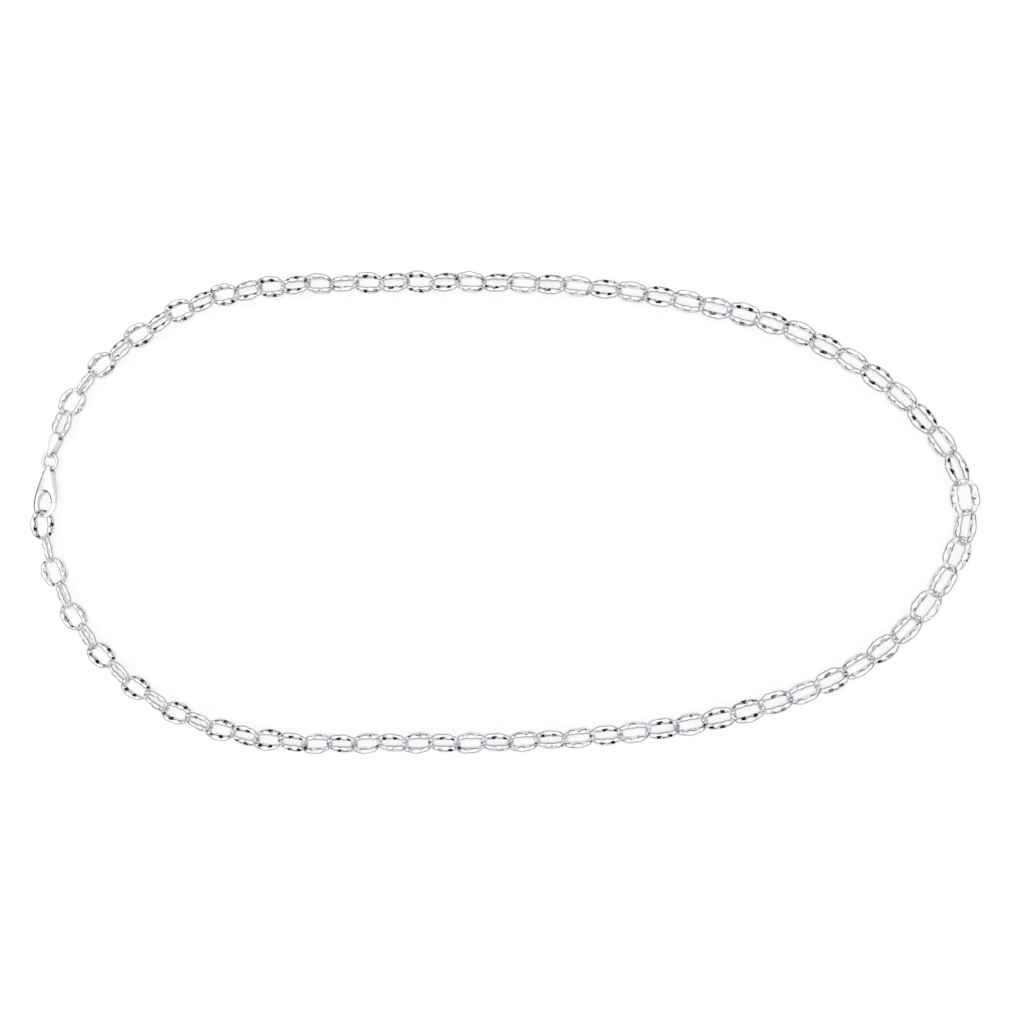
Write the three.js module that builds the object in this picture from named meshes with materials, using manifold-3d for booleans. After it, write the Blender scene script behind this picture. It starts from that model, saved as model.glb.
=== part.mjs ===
// Anchor chain necklace with a lobster clasp, lying closed on a flat surface.
// Millimetres, +Z up, +X to the right end of the loop, origin under the middle of its box.
import * as THREE from "three";
import { mergeVertices } from "three/addons/utils/BufferGeometryUtils.js";
import Module from "manifold-3d";

const wasm = await Module();
wasm.setup();

// Oval links
const linkCount = 83;
const linksInUpperChain = 41;
const linkLength = 6.45;
const linkWidth = 4.95;
const linkHeight = 1.15;
const sideWire = 1.3;
const endWire = 0.7;
const endHeight = 0.6;
const linkSides = 10;
const wireSides = 6;
const ovalSquareness = 0.5;
const solderBite = 0.15;
const looseGap = 0.3;
const holeLength = linkLength - 2 * endWire;
const linkPitch = holeLength + solderBite;
const neighbourLift = 0.35;
const tallestWire = 0.6;

// Jump ring
const ringRadius = 1.68;
const ringWire = 0.375;
const ringHeight = 1.2;

// End tab, flat sided at the ring and leaf shaped at the first link, x from the ring's eye
const tabUpperHeight = 1.35;
const tabLowerEye = 0.6;
const tabUpperEye = 0.68;
const firstLinkStation = 8.45;
const firstLinkHeight = 1.53;
const tabUpperStation = firstLinkStation - linkLength / 2 + endWire / 2;
const tabEyeSpan = tabUpperStation - ringRadius;
const tabSections = [
  { x: -1.0, halfWidth: 0.18, halfHeight: 0.42 },
  { x: -0.84, halfWidth: 0.22, halfHeight: 0.8 },
  { x: -0.4, halfWidth: 0.34, halfHeight: 1.08 },
  { x: 0.5, halfWidth: 0.56, halfHeight: 1.12 },
  { x: 1.7, halfWidth: 0.95, halfHeight: 1.02 },
  { x: tabEyeSpan - 0.9, halfWidth: 1.06, halfHeight: 0.98 },
  { x: tabEyeSpan, halfWidth: 0.8, halfHeight: 0.96 },
  { x: tabEyeSpan + 0.55, halfWidth: 0.58, halfHeight: 0.8 },
  { x: tabEyeSpan + 0.9, halfWidth: 0.36, halfHeight: 0.5 },
];

// Lobster clasp, x from its eye to its hook, y towards its gate
const claspPitch = 4.8;
const eyeOuter = 1.1;
const eyeBore = 0.75;
const eyeWidth = 1.3;
const neckStart = 0.72;
const neckHalfWidth = 1.1;
const bellyStation = 7.4;
const bellyHalfWidth = 2.6;
const hookReach = 2.9;
const bodyHeight = 2.0;
const hookHeight = 1.05;
const throat = { x: 7.2, y: 0, alongHalf: 2.4, acrossHalf: 1.65 };
const cheekEnd = 5.1;
const hookTipStation = 7.35;
const seamSlant = 0.4;
const slotStart = 2.1;
const slotHeight = 1.2;
const leverHeight = 0.8;
const gateHeight = 1.3;
const pivot = { x: 4.1, y: 1.05 };
const rivetRadius = 0.3;
const rivetHeight = 2.1;
const pinGap = 0.15;
const hubRadius = 0.78;
const nubReach = -2.75;
const nubRadius = 0.42;

// The middle line of the loop, clockwise from the jump ring, seen from above
const route = new THREE.CatmullRomCurve3(
  [
    [-100.2, 11.0],
    [-97.3, 18.6],
    [-91.2, 27.6],
    [-79.0, 36.9],
    [-65.0, 43.2],
    [-50.0, 45.4],
    [-29.5, 45.2],
    [-8.0, 44.2],
    [13.0, 42.3],
    [33.3, 38.4],
    [52.8, 31.8],
    [69.8, 20.0],
    [78.9, 7.6],
    [80.4, 0.3],
    [79.0, -7.2],
    [70.8, -20.3],
    [58.4, -29.7],
    [39.2, -37.2],
    [18.8, -41.2],
    [-2.0, -43.5],
    [-22.8, -44.6],
    [-43.5, -45.5],
    [-58.6, -43.9],
    [-73.4, -38.9],
    [-86.4, -29.8],
    [-96.0, -17.3],
    [-101.0, -2.4],
  ].map(([x, y]) => new THREE.Vector3(x, y, 0)),
  true,
);
route.arcLengthDivisions = 4000;
const routeLength = route.getLength();

// How far each link leans, in degrees; every second link has its outer side up, the others their inner side
const outerSideUp = [
  { link: 2, lean: 44 },
  { link: 4, lean: 50 },
  { link: 8, lean: 47 },
  { link: 10, lean: 45 },
  { link: 14, lean: 52 },
  { link: 18, lean: 48 },
  { link: 20, lean: 54 },
  { link: 26, lean: 57 },
  { link: 30, lean: 49 },
  { link: 34, lean: 56 },
  { link: 38, lean: 56 },
  { link: 40, lean: 28 },
  { link: 41, lean: 60 },
  { link: 43, lean: 56 },
  { link: 49, lean: 56 },
  { link: 51, lean: 47 },
  { link: 57, lean: 56 },
  { link: 61, lean: 51 },
  { link: 67, lean: 52 },
  { link: 69, lean: 46 },
  { link: 77, lean: 54 },
  { link: 81, lean: 46 },
  { link: 83, lean: 62 },
];
const innerSideUp = [
  { link: 1, lean: -12 },
  { link: 3, lean: -36 },
  { link: 5, lean: -29 },
  { link: 7, lean: -31 },
  { link: 11, lean: -24 },
  { link: 15, lean: -40 },
  { link: 17, lean: -31 },
  { link: 21, lean: -36 },
  { link: 23, lean: -32 },
  { link: 25, lean: -36 },
  { link: 29, lean: -30 },
  { link: 35, lean: -32 },
  { link: 39, lean: -38 },
  { link: 42, lean: -22 },
  { link: 44, lean: -22 },
  { link: 46, lean: -30 },
  { link: 54, lean: -34 },
  { link: 58, lean: -40 },
  { link: 66, lean: -38 },
  { link: 70, lean: -30 },
  { link: 72, lean: -37 },
  { link: 78, lean: -33 },
  { link: 80, lean: -34 },
  { link: 82, lean: -40 },
];

const silver = new THREE.MeshStandardMaterial({ color: 0xe9e9ec, metalness: 1, roughness: 0.12 });
const up = new THREE.Vector3(0, 0, 1);
const radians = THREE.MathUtils.degToRad;

function readTable(rows, link) {
  const after = Math.max(1, rows.findIndex((row) => row.link >= link));
  const from = rows[after - 1];
  const to = rows[after];
  const share = (link - from.link) / (to.link - from.link);
  return THREE.MathUtils.lerp(from.lean, to.lean, THREE.MathUtils.clamp(share, 0, 1));
}

function leanOf(link) {
  const leansOut = link < linksInUpperChain ? link % 2 === 0 : link % 2 === 1;
  return radians(readTable(leansOut ? outerSideUp : innerSideUp, link));
}

function stationOf(link) {
  const slack = link > linksInUpperChain ? solderBite + looseGap : 0;
  return firstLinkStation + (link - 1) * linkPitch - slack;
}

function pointAt(station) {
  const share = (station / routeLength + 1) % 1;
  return route.getPointAt(share);
}

function restingHeight(link) {
  const sideOffset = linkWidth / 2 - sideWire / 2;
  return sideOffset * Math.abs(Math.sin(leanOf(link))) + tallestWire;
}

function heightOf(link) {
  if (link === 1) return firstLinkHeight;
  const before = Math.max(1, link - 1);
  const after = Math.min(linkCount, link + 1);
  const neighbours = (restingHeight(before) + restingHeight(after)) / 2;
  return Math.max(restingHeight(link), neighbours - neighbourLift);
}

function centreOf(link) {
  return pointAt(stationOf(link)).setZ(heightOf(link));
}

// x along the piece, y across it, turned up from the level by the roll
function frameAt(place, along, roll) {
  const x = along.clone().normalize();
  const level = new THREE.Vector3().crossVectors(up, x).normalize();
  const upright = new THREE.Vector3().crossVectors(x, level);
  const y = level.multiplyScalar(Math.cos(roll)).addScaledVector(upright, Math.sin(roll));
  const z = new THREE.Vector3().crossVectors(x, y);
  return new THREE.Matrix4().makeBasis(x, y, z).setPosition(place);
}

function solidOf(geometry) {
  const bare = geometry.clone();
  bare.deleteAttribute("normal");
  bare.deleteAttribute("uv");
  const merged = mergeVertices(bare, 1e-4);
  const mesh = new wasm.Mesh({
    numProp: 3,
    vertProperties: new Float32Array(merged.attributes.position.array),
    triVerts: new Uint32Array(merged.index.array),
  });
  return new wasm.Manifold(mesh);
}

function geometryOf(solid) {
  const mesh = solid.getMesh();
  const geometry = new THREE.BufferGeometry();
  geometry.setAttribute("position", new THREE.BufferAttribute(mesh.vertProperties, 3));
  geometry.setIndex(new THREE.BufferAttribute(mesh.triVerts, 1));
  return geometry;
}

function join(geometries) {
  return geometries.map(solidOf).reduce((joined, next) => joined.add(next));
}

function piece(name, geometry) {
  const mesh = new THREE.Mesh(geometry, silver);
  mesh.name = name;
  return mesh;
}

// One oval link: flat on its two faces, ridged inside and out, thinner at the ends
function linkGeometry() {
  const half = 0.5;
  const geometry = new THREE.TorusGeometry(1, half, wireSides, linkSides);
  const position = geometry.attributes.position;
  const alongHalf = linkLength / 2 - endWire / 2;
  const acrossHalf = linkWidth / 2 - sideWire / 2;
  const flatness = Math.sin(Math.PI / 3);
  const halfSide = Math.PI / linkSides;
  const endReach = Math.cos(halfSide) ** ovalSquareness;
  for (let i = 0; i < position.count; i++) {
    const x = position.getX(i);
    const y = position.getY(i);
    const outward = (Math.hypot(x, y) - 1) / half;
    const raised = position.getZ(i) / half;
    const angle = Math.atan2(y, x) + halfSide;
    const cos = Math.cos(angle);
    const sin = Math.sin(angle);
    const normal = new THREE.Vector2(cos * acrossHalf, sin * alongHalf).normalize();
    const wire = THREE.MathUtils.lerp(endWire, sideWire, sin * sin);
    const height = THREE.MathUtils.lerp(endHeight, linkHeight, sin * sin);
    const ovalX = (alongHalf * Math.sign(cos) * Math.abs(cos) ** ovalSquareness) / endReach;
    const ovalY = acrossHalf * Math.sign(sin) * Math.abs(sin) ** ovalSquareness;
    position.setXYZ(
      i,
      ovalX + (normal.x * outward * wire) / 2,
      ovalY + (normal.y * outward * wire) / 2,
      (raised * height) / 2 / flatness,
    );
  }
  return geometry;
}

function chain(name, firstLink, lastLink) {
  const link = linkGeometry();
  const links = [];
  for (let k = firstLink; k <= lastLink; k++) {
    const before = k > 1 ? centreOf(k - 1) : pointAt(tabUpperStation).setZ(tabUpperHeight);
    const after = k < linkCount ? centreOf(k + 1) : pointAt(0).setZ(heightOf(k));
    links.push(link.clone().applyMatrix4(frameAt(centreOf(k), after.sub(before), leanOf(k))));
  }
  return piece(name, geometryOf(join(links)));
}

function jumpRing() {
  const ring = piece("jump_ring", new THREE.TorusGeometry(ringRadius, ringWire, 8, 18));
  ring.position.copy(pointAt(0)).setZ(ringHeight);
  return ring;
}

// A solid that narrows from its leaf to its ring end, with an eye across it at each end
function endTab() {
  const lower = pointAt(ringRadius).setZ(ringHeight);
  const upper = pointAt(tabUpperStation).setZ(tabUpperHeight);
  const segments = tabSections.length - 1;
  const leaf = new THREE.BoxGeometry(1, 1, 1, segments, 1, 1);
  const position = leaf.attributes.position;
  for (let i = 0; i < position.count; i++) {
    const section = tabSections[Math.round((position.getX(i) + 0.5) * segments)];
    const side = Math.sign(position.getY(i));
    const face = Math.sign(position.getZ(i));
    position.setXYZ(i, section.x, side * section.halfWidth, face * section.halfHeight);
  }
  const eyeCutter = (radius, x) => new THREE.CylinderGeometry(radius, radius, 4, 14).translate(x, 0, 0);
  const solid = solidOf(leaf)
    .subtract(solidOf(eyeCutter(tabLowerEye, 0)))
    .subtract(solidOf(eyeCutter(tabUpperEye, tabEyeSpan)));
  return piece("end_tab", geometryOf(solid).applyMatrix4(frameAt(lower, upper.sub(lower), 0)));
}

// A flat plate with the given outline, centred on the middle plane of the clasp
function plate(shape, height, bevel = 0) {
  const geometry = new THREE.ExtrudeGeometry(shape, {
    depth: height - 2 * bevel,
    curveSegments: 9,
    bevelEnabled: bevel > 0,
    bevelThickness: bevel,
    bevelSize: bevel,
    bevelOffset: -bevel,
    bevelSegments: 1,
  });
  return geometry.translate(0, 0, -(height - 2 * bevel) / 2);
}

function boxBetween(x1, x2, y1, y2, height) {
  const box = new THREE.BoxGeometry(x2 - x1, y2 - y1, height);
  return box.translate((x1 + x2) / 2, (y1 + y2) / 2, 0);
}

function claspOutline() {
  const shape = new THREE.Shape();
  shape.moveTo(neckStart, -neckHalfWidth);
  shape.bezierCurveTo(3.0, -1.4, 5.0, -bellyHalfWidth, bellyStation, -bellyHalfWidth);
  shape.absellipse(bellyStation, 0, hookReach, bellyHalfWidth, -Math.PI / 2, Math.PI / 2, false, 0);
  shape.bezierCurveTo(5.0, bellyHalfWidth, 3.0, 1.4, neckStart, neckHalfWidth);
  shape.closePath();
  return shape;
}

// Cuts the upper and lower faces so that the body thins evenly towards the hook
function thinningWedge(side) {
  const thick = bodyHeight / 2;
  const thin = hookHeight / 2;
  const shape = new THREE.Shape();
  shape.moveTo(cheekEnd, thick);
  shape.lineTo(bellyStation + 1.6, thin);
  shape.lineTo(bellyStation + 5, thin);
  shape.lineTo(bellyStation + 5, thick + 1);
  shape.lineTo(cheekEnd, thick + 1);
  shape.closePath();
  const wedge = new THREE.ExtrudeGeometry(shape, { depth: 8, bevelEnabled: false });
  wedge.translate(0, 0, -4).rotateX(Math.PI / 2);
  return side > 0 ? wedge : wedge.rotateX(Math.PI);
}

// Clears the gate's place, from the cheeks to the slanted tip of the hook
function gateGap() {
  const shape = new THREE.Shape();
  shape.moveTo(cheekEnd, 0.9);
  shape.lineTo(hookTipStation, 0.9);
  shape.lineTo(hookTipStation, throat.acrossHalf);
  shape.lineTo(hookTipStation - seamSlant, bellyHalfWidth);
  shape.lineTo(hookTipStation - seamSlant, 4);
  shape.lineTo(cheekEnd, 4);
  shape.closePath();
  return plate(shape, 6);
}

function claspBody() {
  const throatShape = new THREE.Shape();
  throatShape.absellipse(throat.x, throat.y, throat.alongHalf, throat.acrossHalf, 0, 2 * Math.PI, false, 0);
  const eye = new THREE.CylinderGeometry(eyeOuter, eyeOuter, eyeWidth, 16);
  const bore = new THREE.CylinderGeometry(eyeBore, eyeBore, 6, 16);
  const rivetHole = new THREE.CylinderGeometry(rivetRadius + pinGap, rivetRadius + pinGap, 6, 12);
  rivetHole.rotateX(Math.PI / 2).translate(pivot.x, pivot.y, 0);
  return join([plate(claspOutline(), bodyHeight, 0.3), eye])
    .subtract(solidOf(thinningWedge(1)))
    .subtract(solidOf(thinningWedge(-1)))
    .subtract(solidOf(plate(throatShape, 6)))
    .subtract(solidOf(gateGap()))
    .subtract(solidOf(boxBetween(slotStart, cheekEnd + 0.2, -4, 4, slotHeight)))
    .subtract(solidOf(bore))
    .subtract(solidOf(rivetHole));
}

// A see-saw on the rivet: the gate closes the hook on one side, the thumb nub stands out on the other
function claspLever() {
  const gateStart = cheekEnd + 0.2;
  const gateEnd = hookTipStation - 0.2;
  const gateInner = throat.y + throat.acrossHalf;
  const gate = new THREE.Shape();
  gate.moveTo(gateStart, gateInner - 0.35);
  gate.lineTo(gateEnd, gateInner + 0.05);
  gate.lineTo(gateEnd - seamSlant, bellyHalfWidth - 0.1);
  gate.quadraticCurveTo(6.2, bellyHalfWidth - 0.2, gateStart, 2.02);
  gate.closePath();
  const arm = new THREE.Shape();
  arm.moveTo(pivot.x - 0.35, nubReach);
  arm.lineTo(pivot.x - 0.45, pivot.y);
  arm.lineTo(pivot.x + 0.2, 1.62);
  arm.lineTo(gateStart + 0.6, 2.1);
  arm.lineTo(gateStart + 0.6, gateInner - 0.2);
  arm.lineTo(pivot.x + 0.65, 0.55);
  arm.lineTo(pivot.x + 0.35, nubReach);
  arm.closePath();
  const hub = new THREE.CylinderGeometry(hubRadius, hubRadius, leverHeight, 14);
  hub.rotateX(Math.PI / 2).translate(pivot.x, pivot.y, 0);
  const nub = new THREE.CylinderGeometry(nubRadius, nubRadius, leverHeight, 12);
  nub.rotateX(Math.PI / 2).translate(pivot.x, nubReach, 0);
  const rivetHole = new THREE.CylinderGeometry(rivetRadius + pinGap, rivetRadius + pinGap, 4, 12);
  rivetHole.rotateX(Math.PI / 2).translate(pivot.x, pivot.y, 0);
  return join([plate(gate, gateHeight, 0.12), plate(arm, leverHeight), hub, nub]).subtract(
    solidOf(rivetHole),
  );
}

function claspRivet() {
  const rivet = new THREE.CylinderGeometry(rivetRadius, rivetRadius, rivetHeight, 12);
  return rivet.rotateX(Math.PI / 2).translate(pivot.x, pivot.y, 0);
}

// The clasp hangs on the ring by its eye, and the last link lifts its hook a little
function claspGroup() {
  const ringCentre = pointAt(0);
  const level = pointAt(stationOf(linkCount)).sub(ringCentre).normalize();
  const along = level.clone().setZ(Math.tan(radians(claspPitch)));
  const eyePlace = ringCentre.addScaledVector(level, ringRadius).setZ(ringHeight);
  const group = new THREE.Group();
  group.applyMatrix4(frameAt(eyePlace, along, 0));
  group.add(piece("clasp_body", geometryOf(claspBody())));
  group.add(piece("clasp_lever", geometryOf(claspLever())));
  group.add(piece("clasp_rivet", claspRivet()));
  return group;
}

const necklace = new THREE.Group();
const laid = new THREE.Group();
laid.add(chain("upper_chain", 1, linksInUpperChain));
laid.add(chain("lower_chain", linksInUpperChain + 1, linkCount));
laid.add(endTab());
laid.add(jumpRing());
laid.add(claspGroup());
necklace.add(laid);

necklace.updateMatrixWorld(true);
const box = new THREE.Box3().setFromObject(necklace, true);
laid.position.set(-(box.min.x + box.max.x) / 2, -(box.min.y + box.max.y) / 2, -box.min.z);

export default necklace;
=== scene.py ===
"""An anchor chain necklace with a lobster clasp, lying closed on a pale surface."""
import math

import bmesh
import bpy
from mathutils import Matrix, Vector


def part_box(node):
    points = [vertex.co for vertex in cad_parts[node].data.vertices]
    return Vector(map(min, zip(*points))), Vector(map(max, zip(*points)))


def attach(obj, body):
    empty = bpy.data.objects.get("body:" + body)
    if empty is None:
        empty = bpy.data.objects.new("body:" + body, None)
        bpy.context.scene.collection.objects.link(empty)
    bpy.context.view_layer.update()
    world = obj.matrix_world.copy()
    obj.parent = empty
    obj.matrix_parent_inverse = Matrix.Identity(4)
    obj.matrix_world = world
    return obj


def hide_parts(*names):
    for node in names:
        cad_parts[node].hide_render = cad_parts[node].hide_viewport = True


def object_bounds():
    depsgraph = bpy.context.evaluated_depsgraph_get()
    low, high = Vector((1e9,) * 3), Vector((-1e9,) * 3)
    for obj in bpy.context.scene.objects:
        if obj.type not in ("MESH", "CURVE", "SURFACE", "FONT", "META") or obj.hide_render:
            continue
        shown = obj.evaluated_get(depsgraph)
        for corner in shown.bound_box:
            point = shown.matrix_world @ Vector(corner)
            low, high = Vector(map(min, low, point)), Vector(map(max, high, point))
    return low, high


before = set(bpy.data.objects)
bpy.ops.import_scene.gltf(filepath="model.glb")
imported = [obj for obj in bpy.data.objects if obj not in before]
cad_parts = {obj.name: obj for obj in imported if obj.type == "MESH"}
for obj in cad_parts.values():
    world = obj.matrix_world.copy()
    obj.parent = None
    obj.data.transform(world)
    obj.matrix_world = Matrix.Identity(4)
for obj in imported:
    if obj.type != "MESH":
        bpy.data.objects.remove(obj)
cad_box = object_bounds()
bpy.ops.object.select_all(action="DESELECT")


# Polished sterling silver. It is close to white and bright, with hair-fine marks of the polishing
# wheel and the faint grey veil that silver takes on. The links are also dented all over by hammering.
class Shade:
    """A socket of a material, on which sums are written as on numbers."""

    def __init__(self, tree, socket):
        self.tree = tree
        self.socket = socket

    def node(self, kind, settings=None, sockets=None, output=0):
        made = self.tree.nodes.new(kind)
        for name, value in (settings or {}).items():
            if name == "stops":
                stops = made.color_ramp.elements
                for place, (position, colour) in enumerate(value):
                    element = stops[place] if place < 2 else stops.new(position)
                    element.position = position
                    element.color = colour
            else:
                setattr(made, name, value)
        for name, value in (sockets or {}).items():
            if isinstance(value, Shade):
                self.tree.links.new(value.socket, made.inputs[name])
            else:
                made.inputs[name].default_value = value
        return Shade(self.tree, made.outputs[output])

    def math(self, operation, first, second):
        return self.node("ShaderNodeMath", {"operation": operation}, {0: first, 1: second})

    def __add__(self, other):
        return self.math("ADD", self, other)

    def __radd__(self, other):
        return self.math("ADD", other, self)

    def __sub__(self, other):
        return self.math("SUBTRACT", self, other)

    def __rsub__(self, other):
        return self.math("SUBTRACT", other, self)

    def __mul__(self, other):
        return self.math("MULTIPLY", self, other)

    def __rmul__(self, other):
        return self.math("MULTIPLY", other, self)


def polished_silver(name, tone, gloss, scratch_depth, dent_depth):
    material = bpy.data.materials.new(name)
    material.use_nodes = True
    tree = material.node_tree
    surface = tree.nodes["Principled BSDF"]
    place = Shade(tree, None).node("ShaderNodeTexCoord", output=3)
    veil = place.node("ShaderNodeTexNoise", sockets={"Vector": place, "Scale": 260.0, "Detail": 4.0})
    stretched = place.node("ShaderNodeMapping", sockets={"Vector": place, "Scale": (1.0, 9.0, 3.0)})
    scratches = place.node(
        "ShaderNodeTexNoise",
        sockets={"Vector": stretched, "Scale": 2600.0, "Detail": 3.0},
    )
    dents = place.node("ShaderNodeTexNoise", sockets={"Vector": place, "Scale": 900.0, "Detail": 1.0})
    colour = place.node(
        "ShaderNodeValToRGB",
        {"stops": [(0.3, (*[part * 0.96 for part in tone], 1.0)), (0.7, (*tone, 1.0))]},
        {"Fac": veil},
    )
    roughness = gloss + 0.05 * veil + 0.03 * scratches
    relief = scratches * scratch_depth + dents * dent_depth
    bump = place.node(
        "ShaderNodeBump",
        sockets={"Height": relief, "Strength": 1.0, "Distance": 0.00002},
    )
    tree.links.new(colour.socket, surface.inputs["Base Color"])
    tree.links.new(roughness.socket, surface.inputs["Roughness"])
    tree.links.new(bump.socket, surface.inputs["Normal"])
    surface.inputs["Metallic"].default_value = 1.0
    return material


link_silver = polished_silver("link_silver", (0.84, 0.84, 0.86), 0.14, 0.05, 6.5)
cut_silver = polished_silver("cut_silver", (0.78, 0.78, 0.80), 0.02, 0.02, 0.5)
fitting_silver = polished_silver("fitting_silver", (0.84, 0.84, 0.86), 0.15, 0.05, 0.0)


# The middle line of the loop, in millimetres, from the jump ring clockwise as seen from above. The links
# are threaded on it at an even pitch, and lean in turn with their outer and their inner side up. Both
# were fitted to the photo with scratch programs: rows are (x, y), and (link, lean in degrees).
ring_place = Vector((-0.1002, 0.0110, 0.0012))
low, high = (Vector(corner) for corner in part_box("jump_ring"))
laid = (low + high) / 2 - ring_place

route_points = [
    (-100.2, 11.0),
    (-97.3, 18.6),
    (-91.2, 27.6),
    (-79.0, 36.9),
    (-65.0, 43.2),
    (-50.0, 45.4),
    (-29.5, 45.2),
    (-8.0, 44.2),
    (13.0, 42.3),
    (33.3, 38.4),
    (52.8, 31.8),
    (69.8, 20.0),
    (78.9, 7.6),
    (80.4, 0.3),
    (79.0, -7.2),
    (70.8, -20.3),
    (58.4, -29.7),
    (39.2, -37.2),
    (18.8, -41.2),
    (-2.0, -43.5),
    (-22.8, -44.6),
    (-43.5, -45.5),
    (-58.6, -43.9),
    (-73.4, -38.9),
    (-86.4, -29.8),
    (-96.0, -17.3),
    (-101.0, -2.4),
]
link_count = 83
links_in_upper_chain = 41
link_pitch = 0.0052
first_link_station = 0.00845
slack_at_far_end = 0.00045
outer_side_up = [
    (2, 44),
    (4, 50),
    (8, 47),
    (10, 45),
    (14, 52),
    (18, 48),
    (20, 54),
    (26, 57),
    (30, 49),
    (34, 56),
    (38, 56),
    (40, 28),
    (41, 60),
    (43, 56),
    (49, 56),
    (51, 47),
    (57, 56),
    (61, 51),
    (67, 52),
    (69, 46),
    (77, 54),
    (81, 46),
    (83, 62),
]
inner_side_up = [
    (1, -12),
    (3, -36),
    (5, -29),
    (7, -31),
    (11, -24),
    (15, -40),
    (17, -31),
    (21, -36),
    (23, -32),
    (25, -36),
    (29, -30),
    (35, -32),
    (39, -38),
    (42, -22),
    (44, -22),
    (46, -30),
    (54, -34),
    (58, -40),
    (66, -38),
    (70, -30),
    (72, -37),
    (78, -33),
    (80, -34),
    (82, -40),
]
resting_side = 0.001825
resting_wire = 0.0006
neighbour_lift = 0.00035
first_link_height = 0.00153
tab_upper_station = 0.005575
tab_upper_height = 0.00135


def smooth_loop(points, steps):
    """A closed centripetal curve through the points, as a list of close points with their stations."""
    count = len(points)
    line = []
    for index in range(count):
        p0, p1, p2, p3 = (Vector(points[(index + shift) % count]) / 1000 for shift in (-1, 0, 1, 2))
        d0, d1, d2 = ((b - a).length ** 0.5 for a, b in ((p0, p1), (p1, p2), (p2, p3)))
        t1 = ((p1 - p0) / d0 - (p2 - p0) / (d0 + d1) + (p2 - p1) / d1) * d1
        t2 = ((p2 - p1) / d1 - (p3 - p1) / (d1 + d2) + (p3 - p2) / d2) * d1
        for step in range(steps):
            t = step / steps
            line.append(
                p1
                + t1 * t
                + (-3 * p1 + 3 * p2 - 2 * t1 - t2) * t**2
                + (2 * p1 - 2 * p2 + t1 + t2) * t**3
            )
    stations = [0.0]
    for here, there in zip(line, line[1:] + line[:1]):
        stations.append(stations[-1] + (there - here).length)
    return line + line[:1], stations


route_steps = 160
route, route_stations = smooth_loop(route_points, route_steps)


def place_at(station, height):
    station %= route_stations[-1]
    index = next(i for i, reached in enumerate(route_stations) if reached > station)
    start, end = route_stations[index - 1], route_stations[index]
    spot = route[index - 1].lerp(route[index], (station - start) / (end - start))
    return Vector((spot.x, spot.y, height))


def lean_of(link):
    leans_out = link % 2 == (0 if link < links_in_upper_chain else 1)
    rows = outer_side_up if leans_out else inner_side_up
    after = max(1, next(i for i, (named, _) in enumerate(rows) if named >= link))
    (start, first), (end, last) = rows[after - 1], rows[after]
    share = min(1.0, max(0.0, (link - start) / (end - start)))
    return math.radians(first + (last - first) * share)


def station_of(link):
    slack = slack_at_far_end if link > links_in_upper_chain else 0.0
    return first_link_station + (link - 1) * link_pitch - slack


def resting_height(link):
    return resting_side * abs(math.sin(lean_of(link))) + resting_wire


def height_of(link):
    if link == 1:
        return first_link_height
    before = max(1, link - 1)
    after = min(link_count, link + 1)
    neighbours = (resting_height(before) + resting_height(after)) / 2
    return max(resting_height(link), neighbours - neighbour_lift)


def centre_of(link):
    return place_at(station_of(link), height_of(link))


def turned_frame(place, along, roll):
    """x along the piece and y across it, turned up from the level by the roll."""
    x = along.normalized()
    level = Vector((0, 0, 1)).cross(x).normalized()
    y = level * math.cos(roll) + x.cross(level) * math.sin(roll)
    turned = Matrix((x, y, x.cross(y))).transposed().to_4x4()
    turned.translation = place + laid
    return turned


# One link is an oval ring of drawn silver wire, soldered shut and thinner at its two ends, with
# small mirror flats that a diamond tool has cut all round its upper and its lower face. The wire is
# narrower at each flat, which scallops the link's outline. The measures are in metres and degrees.
link_length = 0.00645
link_width = 0.00495
side_wire = 0.00145
end_wire = 0.00068
side_height = 0.00118
end_height = 0.00074
oval_squareness = 0.9
link_smooth_angle = 28
link_rings = 72
wire_points = 20
flat_every = 8
flat_rings = 4
flat_height = 0.7
flat_tilts = (6, -4, 9, -7, 3, -9, 5, -3, 7)
flat_narrowing = 0.08
ring_step = 0.00021
flat_upright = 0.994


def select_points(target, chosen):
    """Selects the points of the piece in edit mode that the rule chooses, and no others."""
    cage = bmesh.from_edit_mesh(target.data)
    for vertex in cage.verts:
        vertex.select_set(False)
    for vertex in cage.verts:
        if chosen(vertex.co):
            vertex.select_set(True)
    cage.select_flush_mode()
    bmesh.update_edit_mesh(target.data)


def select_faces(target, chosen):
    """Selects the faces of the piece in edit mode that the rule chooses, and no others."""
    cage = bmesh.from_edit_mesh(target.data)
    cage.normal_update()
    for face in cage.faces:
        face.select_set(False)
    for face in cage.faces:
        if chosen(face):
            face.select_set(True)
    bmesh.update_edit_mesh(target.data)


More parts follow.
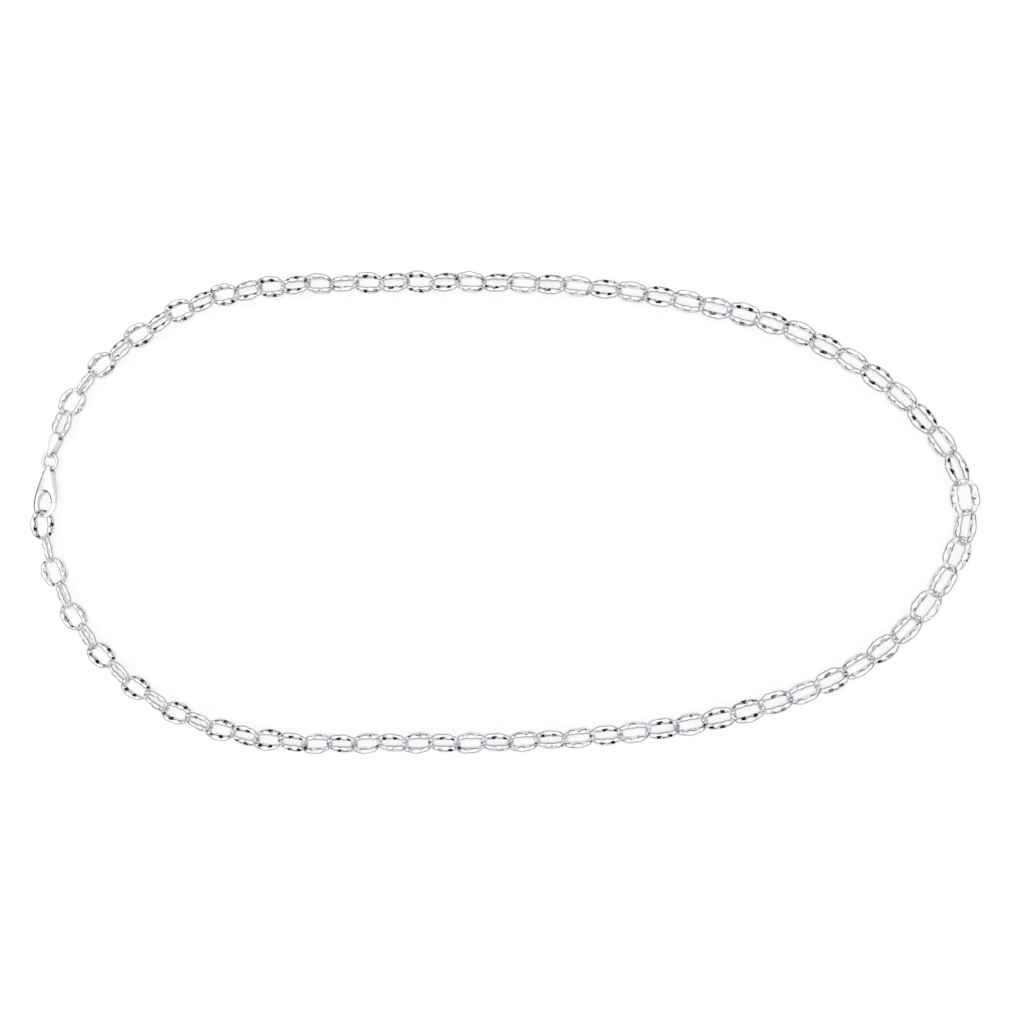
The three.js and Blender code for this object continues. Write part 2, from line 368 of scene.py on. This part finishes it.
def model_link():
    bpy.ops.mesh.primitive_torus_add(
        major_segments=link_rings,
        minor_segments=wire_points,
        major_radius=1.0,
        minor_radius=0.1,
    )
    link = bpy.context.object
    link.name = "diamond_cut_link"
    bpy.ops.object.mode_set(mode="EDIT")
    bpy.ops.mesh.select_mode(type="VERT")
    for ring in range(link_rings):
        angle = 2 * math.pi * ring / link_rings
        spot = Vector((math.cos(angle), math.sin(angle), 0))
        around = Vector((-spot.y, spot.x, 0))

        def on_ring(co):
            return co.dot(spot) > 0.5 and abs(co.dot(around)) < 0.01

        wire = end_wire + (side_wire - end_wire) * spot.y**2
        around_flat = 2 * math.pi * (ring - (flat_rings - 1) / 2) / flat_every
        wire *= 1 - flat_narrowing * math.cos(around_flat)
        height = end_height + (side_height - end_height) * spot.y**2
        select_points(link, on_ring)
        bpy.ops.transform.resize(value=(wire / 0.2, wire / 0.2, height / 0.2), center_override=spot)
        if ring % flat_every < flat_rings:
            tilt = math.radians(flat_tilts[ring // flat_every])
            step = ring % flat_every - (flat_rings - 1) / 2
            for side in (-1, 1):
                cut = side * height / 2 * flat_height + step * ring_step * math.tan(tilt)
                select_points(link, lambda co: on_ring(co) and (co.z - cut) * side > 0)
                bpy.ops.transform.resize(value=(1, 1, 0), center_override=(0, 0, cut))
        along = (link_length - end_wire) / 2 * math.copysign(abs(spot.x) ** oval_squareness, spot.x)
        across = (link_width - side_wire) / 2 * math.copysign(abs(spot.y) ** oval_squareness, spot.y)
        select_points(link, on_ring)
        bpy.ops.transform.translate(value=(along - spot.x, across - spot.y, 0))
    link.data.materials.append(link_silver)
    link.data.materials.append(cut_silver)
    bpy.ops.mesh.select_mode(type="FACE")
    select_faces(link, lambda face: abs(face.normal.z) > flat_upright)
    link.active_material_index = 1
    bpy.ops.object.material_slot_assign()
    bpy.ops.mesh.region_to_loop()
    bpy.ops.mesh.mark_sharp()
    bpy.ops.object.mode_set(mode="OBJECT")
    bpy.ops.object.shade_smooth_by_angle(angle=math.radians(link_smooth_angle))
    return link


def thread_links(name, first, last, pattern):
    bpy.ops.object.select_all(action="DESELECT")
    threaded = []
    for number in range(first, last + 1):
        link = pattern.copy()
        link.data = pattern.data.copy()
        bpy.context.collection.objects.link(link)
        before = centre_of(number - 1) if number > 1 else place_at(tab_upper_station, tab_upper_height)
        after = centre_of(number + 1) if number < link_count else place_at(0, height_of(number))
        turned_over = Matrix.Rotation(math.pi, 4, "XYZ"[number % 3])
        link_frame = turned_frame(centre_of(number), after - before, lean_of(number))
        link.data.transform(link_frame @ turned_over)
        link.select_set(True)
        threaded.append(link)
    bpy.context.view_layer.objects.active = threaded[0]
    bpy.ops.object.join()
    chain = bpy.context.object
    chain.name = name
    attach(chain, "necklace")
    bpy.ops.object.select_all(action="DESELECT")
    return chain


link_pattern = model_link()
upper_chain = thread_links("upper_chain_links", 1, links_in_upper_chain, link_pattern)
lower_chain = thread_links("lower_chain_links", links_in_upper_chain + 1, link_count, link_pattern)
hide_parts("upper_chain")
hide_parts("lower_chain")
bpy.data.objects.remove(link_pattern)


# The jump ring is a round of silver wire, sawn, closed and soldered. The solder leaves a shallow
# groove where its ends meet.
ring_radius = 0.00168
ring_wire_radius = 0.000375
ring_height = 0.0012
ring_steps = 72
groove_angle = math.radians(200)
groove_depth = 0.88

bpy.ops.mesh.primitive_torus_add(
    major_segments=ring_steps,
    minor_segments=18,
    major_radius=ring_radius,
    minor_radius=ring_wire_radius,
)
jump_ring = bpy.context.object
jump_ring.name = "jump_ring_wire"
bpy.ops.object.mode_set(mode="EDIT")
groove = Vector((math.cos(groove_angle), math.sin(groove_angle), 0))
groove_half = ring_radius * math.pi / ring_steps
select_points(jump_ring, lambda co: co.dot(groove) > 0 and abs(co.cross(groove).z) < groove_half)
bpy.ops.transform.resize(value=(groove_depth,) * 3, center_override=groove * ring_radius)
bpy.ops.object.mode_set(mode="OBJECT")
bpy.ops.object.shade_smooth()
jump_ring.data.transform(Matrix.Translation(place_at(0, ring_height) + laid))
jump_ring.data.materials.append(fitting_silver)
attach(jump_ring, "necklace")
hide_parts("jump_ring")
bpy.ops.object.select_all(action="DESELECT")


# The end tab is a short bar of silver pressed to a leaf at the first link and to a blade at the ring,
# with an eye through each end. It is modelled in millimetres, with x from the ring to the link.
tab_sections = [
    (-1.0, 0.14, 0.40),
    (-0.84, 0.18, 0.78),
    (-0.4, 0.26, 1.04),
    (0.5, 0.46, 1.10),
    (1.7, 0.80, 1.04),
    (2.995, 1.05, 0.98),
    (3.6, 1.02, 0.96),
    (4.2, 0.84, 0.86),
    (4.6, 0.60, 0.66),
    (4.795, 0.40, 0.45),
]
tab_ring_eye = 0.6
tab_link_eye = 0.6
tab_eye_span = 3.895
tab_edge_round = 0.2
fitting_smooth_angle = 26
tab_smooth_angle = 35
drill_facets = 40
millimetre = Matrix.Scale(0.001, 4)


def cut_away(target, cutters, operation="DIFFERENCE"):
    """Cuts the target with each cutter, or keeps what they share, and deletes the cutters."""
    for cutter in cutters:
        modifier = target.modifiers.new("cut", "BOOLEAN")
        modifier.object = cutter
        modifier.operation = operation
        modifier.solver = "EXACT"
        bpy.context.view_layer.objects.active = target
        bpy.ops.object.modifier_apply(modifier=modifier.name)
        bpy.data.objects.remove(cutter)


def drill(radius, place, turn, depth=6):
    """A round cutter for an eye or a pin's hole."""
    bpy.ops.mesh.primitive_cylinder_add(
        vertices=drill_facets,
        radius=radius,
        depth=depth,
        location=place,
        rotation=turn,
    )
    bpy.ops.object.transform_apply(location=True, rotation=True, scale=True)
    return bpy.context.object


def finish_fitting(piece, body, node, smooth_angle):
    """Smooths a fitting, gives it its silver, and says what it rides on and replaces."""
    bpy.ops.object.select_all(action="DESELECT")
    piece.select_set(True)
    bpy.context.view_layer.objects.active = piece
    bpy.ops.object.shade_smooth_by_angle(angle=math.radians(smooth_angle))
    piece.data.materials.clear()
    piece.data.materials.append(fitting_silver)
    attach(piece, body)
    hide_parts(node)
    bpy.ops.object.select_all(action="DESELECT")


across = (math.pi / 2, 0, 0)
tab_start, tab_end = tab_sections[0][0], tab_sections[-1][0]
bpy.ops.mesh.primitive_cube_add(size=1)
end_tab = bpy.context.object
end_tab.name = "pressed_end_tab"
bpy.ops.object.mode_set(mode="EDIT")
bpy.ops.transform.resize(value=(tab_end - tab_start, 1, 1))
bpy.ops.transform.translate(value=((tab_start + tab_end) / 2, 0, 0))
for station, half_width, half_height in tab_sections[1:-1]:
    bpy.ops.mesh.select_all(action="SELECT")
    bpy.ops.mesh.bisect(plane_co=(station, 0, 0), plane_no=(1, 0, 0))
for station, half_width, half_height in tab_sections:
    select_points(end_tab, lambda co: abs(co.x - station) < 0.01)
    bpy.ops.transform.resize(value=(1, 2 * half_width, 2 * half_height), center_override=(station, 0, 0))
bpy.ops.object.mode_set(mode="OBJECT")
rounding = end_tab.modifiers.new("rounded edges", "BEVEL")
rounding.width = tab_edge_round
rounding.segments = 4
rounding.angle_limit = math.radians(40)
bpy.ops.object.modifier_apply(modifier=rounding.name)
cut_away(
    end_tab,
    [drill(tab_ring_eye, (0, 0, 0), across), drill(tab_link_eye, (tab_eye_span, 0, 0), across)],
)
tab_foot = place_at(ring_radius, ring_height)
tab_rise = place_at(tab_upper_station, tab_upper_height) - tab_foot
end_tab.data.transform(turned_frame(tab_foot, tab_rise, 0) @ millimetre)
finish_fitting(end_tab, "necklace", "end_tab", tab_smooth_angle)


# The lobster clasp is cast as a domed teardrop and pierced by an oval throat. It is modelled in
# millimetres, with x from its eye to its hook and y towards its gate.
clasp_pitch = math.radians(4.8)
eye_reach = 0.85
eye_half_width = 0.62
eye_bore = 0.55
neck_station = 0.72
neck_half_width = 1.04
belly_station = 7.4
belly_half_width = 2.6
hook_reach = 2.9
wall_half_height = 0.77
dome_rows = [(0.07, 0.08), (0.11, 0.06), (0.15, 0.045), (0.18, 0.03)]
crown = 0.45
thin_from = 5.1
thin_to = 9.0
hook_thinness = 0.53
throat_station = 7.2
throat_along = 2.4
throat_across = 1.65
throat_chamfer = 0.28
throat_flare = 1.2
cheek_end = 5.1
tip_station = 7.35
seam_slant = 0.4
seam_gap = 0.1
slot_start = 2.1
slot_floor = 1.72
slot_half_height = 0.55
pivot_spot = (4.1, 1.05, 0)
rivet_radius = 0.3
rivet_press_gap = 0.004
lever_bore_gap = 0.05
cheek_seam_share = 0.3
throat_points = 72
dome_grid = 0.3
dome_grid_shift = 0.1
dome_rows_along = 33
dome_rows_across = 8


def model_plate(name, outline, half_height):
    """A flat plate with the outline, cut out of a disc and as thick as twice the half height."""
    count = len(outline)
    bpy.ops.mesh.primitive_circle_add(
        vertices=count,
        radius=50,
        fill_type="NGON",
        location=(0, 0, -half_height),
    )
    bpy.ops.object.transform_apply(location=True, rotation=True, scale=True)
    plate = bpy.context.object
    plate.name = name
    bpy.ops.object.mode_set(mode="EDIT")
    bpy.ops.mesh.select_mode(type="VERT")
    cage = bmesh.from_edit_mesh(plate.data)
    for corner, (x, y) in zip(sorted(cage.verts, key=lambda v: math.atan2(v.co.y, v.co.x)), outline):
        corner.co = (x, y, -half_height)
    bmesh.update_edit_mesh(plate.data)
    bpy.ops.mesh.select_all(action="SELECT")
    bpy.ops.mesh.normals_make_consistent(inside=False)
    bpy.ops.mesh.extrude_region_move(TRANSFORM_OT_translate={"value": (0, 0, 2 * half_height)})
    bpy.ops.mesh.select_all(action="SELECT")
    bpy.ops.mesh.normals_make_consistent(inside=False)
    return plate


def teardrop(steps):
    """The clasp's outline, anticlockwise from the tip of its eye."""
    side = []
    for step in range(steps):
        turn = math.pi / 2 * step / steps
        side.append((-eye_reach * math.cos(turn), -eye_half_width * math.sin(turn)))
    curves = [
        (
            (0, -eye_half_width),
            (0.35, -eye_half_width),
            (0.5, -neck_half_width + 0.06),
            (neck_station, -neck_half_width),
        ),
        (
            (neck_station, -neck_half_width),
            (3.0, -1.4),
            (5.0, -belly_half_width),
            (belly_station, -belly_half_width),
        ),
    ]
    for points, count in zip(curves, (steps, 3 * steps)):
        for step in range(count):
            t = step / count
            weights = ((1 - t) ** 3, 3 * t * (1 - t) ** 2, 3 * t**2 * (1 - t), t**3)
            side.append(tuple(sum(w * p[axis] for w, p in zip(weights, points)) for axis in (0, 1)))
    for step in range(2 * steps):
        turn = math.pi / 2 * (step / (2 * steps) - 1)
        side.append((belly_station + hook_reach * math.cos(turn), belly_half_width * math.sin(turn)))
    far = (belly_station + hook_reach, 0)
    return side + [far] + [(x, -y) for x, y in reversed(side[1:])]


def thin_out(piece):
    """Lowers the piece's faces towards its sides and evenly towards the hook."""
    cage = bmesh.from_edit_mesh(piece.data)
    for vertex in cage.verts:
        towards_hook = min(1, max(0, (vertex.co.x - thin_from) / (thin_to - thin_from)))
        towards_side = vertex.co.y / belly_half_width
        vertex.co.z *= (1 - (1 - hook_thinness) * towards_hook) * (1 - crown * towards_side**2)
    bmesh.update_edit_mesh(piece.data)


clasp = model_plate("clasp_shell", teardrop(8), wall_half_height)
select_faces(clasp, lambda face: abs(face.normal.z) > 0.9)
for thickness, depth in dome_rows:
    bpy.ops.mesh.inset(thickness=thickness, depth=depth)
for index in range(1, dome_rows_along + 1):
    bpy.ops.mesh.select_all(action="SELECT")
    bpy.ops.mesh.bisect(plane_co=(index * dome_grid - dome_grid_shift, 0, 0), plane_no=(1, 0, 0))
for index in range(-dome_rows_across, dome_rows_across + 1):
    bpy.ops.mesh.select_all(action="SELECT")
    bpy.ops.mesh.bisect(plane_co=(0, index * dome_grid, 0), plane_no=(0, 1, 0))
thin_out(clasp)
bpy.ops.object.mode_set(mode="OBJECT")

throat_outline = [
    (
        throat_station + throat_along * math.cos(2 * math.pi * step / throat_points),
        throat_across * math.sin(2 * math.pi * step / throat_points),
    )
    for step in range(throat_points)
]
throat_centre = (throat_station, 0, 0)
wall_top = wall_half_height + sum(depth for _, depth in dome_rows)
throat = model_plate("throat", throat_outline, wall_top - throat_chamfer)
select_faces(throat, lambda face: abs(face.normal.z) > 0.9)
bpy.ops.mesh.inset(thickness=0, depth=throat_chamfer * 2)
select_points(throat, lambda co: abs(co.z) > wall_top)
bpy.ops.transform.resize(
    value=(
        1 + 2 * throat_chamfer * throat_flare / throat_along,
        1 + 2 * throat_chamfer * throat_flare / throat_across,
        1,
    ),
    center_override=throat_centre,
)
thin_out(throat)
bpy.ops.object.mode_set(mode="OBJECT")
cut_away(clasp, [throat])


def gate_window(gap):
    """The slanted block that the gate fills, smaller all round by the gap."""
    outline = [
        (cheek_end + gap * cheek_seam_share, 0.5),
        (tip_station - gap, 0.5),
        (tip_station - gap, throat_across),
        (tip_station - gap - seam_slant, belly_half_width),
        (tip_station - gap - seam_slant, 4),
        (cheek_end + gap * cheek_seam_share, 4),
    ]
    window = model_plate("gate_window", outline, 3)
    bpy.ops.object.mode_set(mode="OBJECT")
    return window


def lever_slot():
    """The slot between the cheeks, open towards the nub and the throat and shut on the gate's side."""
    outline = [
        (slot_start, -4),
        (cheek_end + 0.2, -4),
        (cheek_end + 0.2, slot_floor),
        (3.9, slot_floor),
        (3.3, 1.0),
        (slot_start, 0),
    ]
    slot = model_plate("lever_slot", outline, slot_half_height)
    bpy.ops.object.mode_set(mode="OBJECT")
    return slot


def shared_part(name, cutter):
    """A copy of the casting, kept only where it shares its room with the cutter."""
    part = clasp.copy()
    part.data = clasp.data.copy()
    part.name = name
    bpy.context.collection.objects.link(part)
    cut_away(part, [cutter], "INTERSECT")
    return part


gate = shared_part("clasp_gate", gate_window(seam_gap))
rivet = shared_part("hammered_rivet", drill(rivet_radius, pivot_spot, (0, 0, 0)))
cut_away(
    clasp,
    [
        gate_window(0),
        lever_slot(),
        drill(eye_bore, (0, 0, 0), across, 4),
        drill(rivet_radius + rivet_press_gap, pivot_spot, (0, 0, 0)),
    ],
)

# The eye stands in the ring, and the last link lifts the hook a little.
ring_centre = place_at(0, ring_height)
clasp_level = (place_at(station_of(link_count), ring_height) - ring_centre).normalized()
clasp_along = clasp_level + Vector((0, 0, math.tan(clasp_pitch)))
clasp_frame = turned_frame(ring_centre + clasp_level * ring_radius, clasp_along, 0) @ millimetre
clasp.data.transform(clasp_frame)
finish_fitting(clasp, "necklace", "clasp_body", fitting_smooth_angle)


# The sprung lever turns on the rivet. Its gate is cut from the same casting as the body, and a small
# round nub for the thumb stands out on the other side.
lever_half_height = 0.4
nub_station = -2.75
nub_radius = 0.42
arm_outline = [
    (3.78, nub_station),
    (4.42, nub_station),
    (4.75, 0.5),
    (5.9, 1.3),
    (5.9, 1.9),
    (5.0, 1.62),
    (4.2, 1.62),
    (3.6, 1.3),
    (3.65, 0.4),
]
arm = model_plate("lever_arm", arm_outline, lever_half_height)
bpy.ops.object.mode_set(mode="OBJECT")
bpy.ops.mesh.primitive_uv_sphere_add(
    segments=32,
    ring_count=20,
    radius=nub_radius,
    location=(pivot_spot[0], nub_station, 0),
)
bpy.ops.object.transform_apply(location=True, rotation=True, scale=True)
nub = bpy.context.object
cut_away(gate, [arm, nub], "UNION")
cut_away(gate, [drill(rivet_radius + lever_bore_gap, pivot_spot, (0, 0, 0))])
gate.data.transform(clasp_frame)
finish_fitting(gate, "clasp_lever", "clasp_lever", fitting_smooth_angle)

# The rivet is hammered flush with the two cheeks and polished with them, so it is cut from the casting.
rivet.data.transform(clasp_frame)
finish_fitting(rivet, "necklace", "clasp_rivet", fitting_smooth_angle)


# The necklace lies on a white sheet of card that is wide enough to fill the view. A glow keeps it white
# and still lets the links' soft shadow show. The silver mirrors it darker than it looks, as it does
# where black flags stand round a lit table.
card_size = 1.6
card_colour = (0.95, 0.95, 0.955, 1.0)
mirrored_card_colour = (0.78, 0.78, 0.80, 1.0)
card_glow = 1.092
card_glow_share = 0.75

bpy.ops.mesh.primitive_plane_add(size=card_size, location=(0, 0, cad_box[0][2] - 0.00002))
card = bpy.context.object
card.name = "white_card"
card_material = bpy.data.materials.new("white_card")
card_material.use_nodes = True
card_tree = card_material.node_tree
card_surface = card_tree.nodes["Principled BSDF"]
card_surface.inputs["Roughness"].default_value = 0.8
card_surface.inputs["Specular IOR Level"].default_value = 0.1
card_output = card_tree.nodes["Material Output"]
paper = Shade(card_tree, card_surface.outputs[0])
seen = paper.node("ShaderNodeLightPath", output=0)
mirrored = paper.node("ShaderNodeLightPath", output=2)
card_tone = paper.node(
    "ShaderNodeMix",
    {"data_type": "RGBA"},
    {0: mirrored, 6: card_colour, 7: mirrored_card_colour},
    output=2,
)
card_tree.links.new(card_tone.socket, card_surface.inputs["Base Color"])
glow = paper.node("ShaderNodeEmission", sockets={"Color": card_colour, "Strength": card_glow})
lit = paper.node("ShaderNodeMixShader", sockets={0: seen * card_glow_share, 1: paper, 2: glow})
card_tree.links.new(lit.socket, card_output.inputs["Surface"])
card.data.materials.append(card_material)


# A white tent lit all round, bright overhead, that stands open all round its foot, where the silver
# mirrors the dark room.
tent_strength = 1.4
tent_rows = [
    (0.0, (0.01, 0.01, 0.01, 1.0)),
    (0.28, (0.015, 0.015, 0.015, 1.0)),
    (0.35, (0.46, 0.46, 0.48, 1.0)),
    (0.5, (0.62, 0.62, 0.64, 1.0)),
    (0.75, (0.80, 0.80, 0.81, 1.0)),
    (0.92, (1.0, 1.0, 1.0, 1.0)),
]
world = bpy.data.worlds.new("light_tent")
world.use_nodes = True
bpy.context.scene.world = world
bpy.context.scene.view_settings.view_transform = "Standard"
sky = world.node_tree.nodes["Background"]
sky.inputs["Strength"].default_value = tent_strength
direction = Shade(world.node_tree, None).node("ShaderNodeTexCoord", output=0)
height = direction.node("ShaderNodeSeparateXYZ", sockets={0: direction}, output=2)
tent_tone = height.node("ShaderNodeValToRGB", {"stops": tent_rows}, {"Fac": height})
backdrop = height.node("ShaderNodeLightPath", output=0)
seen_tone = height.node(
    "ShaderNodeMix",
    {"data_type": "RGBA"},
    {0: backdrop, 6: tent_tone, 7: card_colour},
    output=2,
)
world.node_tree.links.new(seen_tone.socket, sky.inputs["Color"])

# The camera looks down at the loop, tilted a little towards its clasp.
camera_tilt = math.radians(12.6)
tilt_axis_turn = math.radians(6.9)
tilt_axis = Vector((math.sin(tilt_axis_turn), math.cos(tilt_axis_turn), 0))
camera_turn = Matrix.Rotation(camera_tilt, 3, tilt_axis)
camera_distance = 0.19046
camera_data = bpy.data.cameras.new("camera")
camera_data.sensor_width = 36
camera_data.lens = 1.944 * 18
camera = bpy.data.objects.new("camera", camera_data)
camera_place = laid + camera_turn @ Vector((0, 0, camera_distance))
camera.matrix_world = Matrix.Translation(camera_place) @ camera_turn.to_4x4()
camera_data.clip_start = 0.01
bpy.context.collection.objects.link(camera)
bpy.context.scene.camera = camera
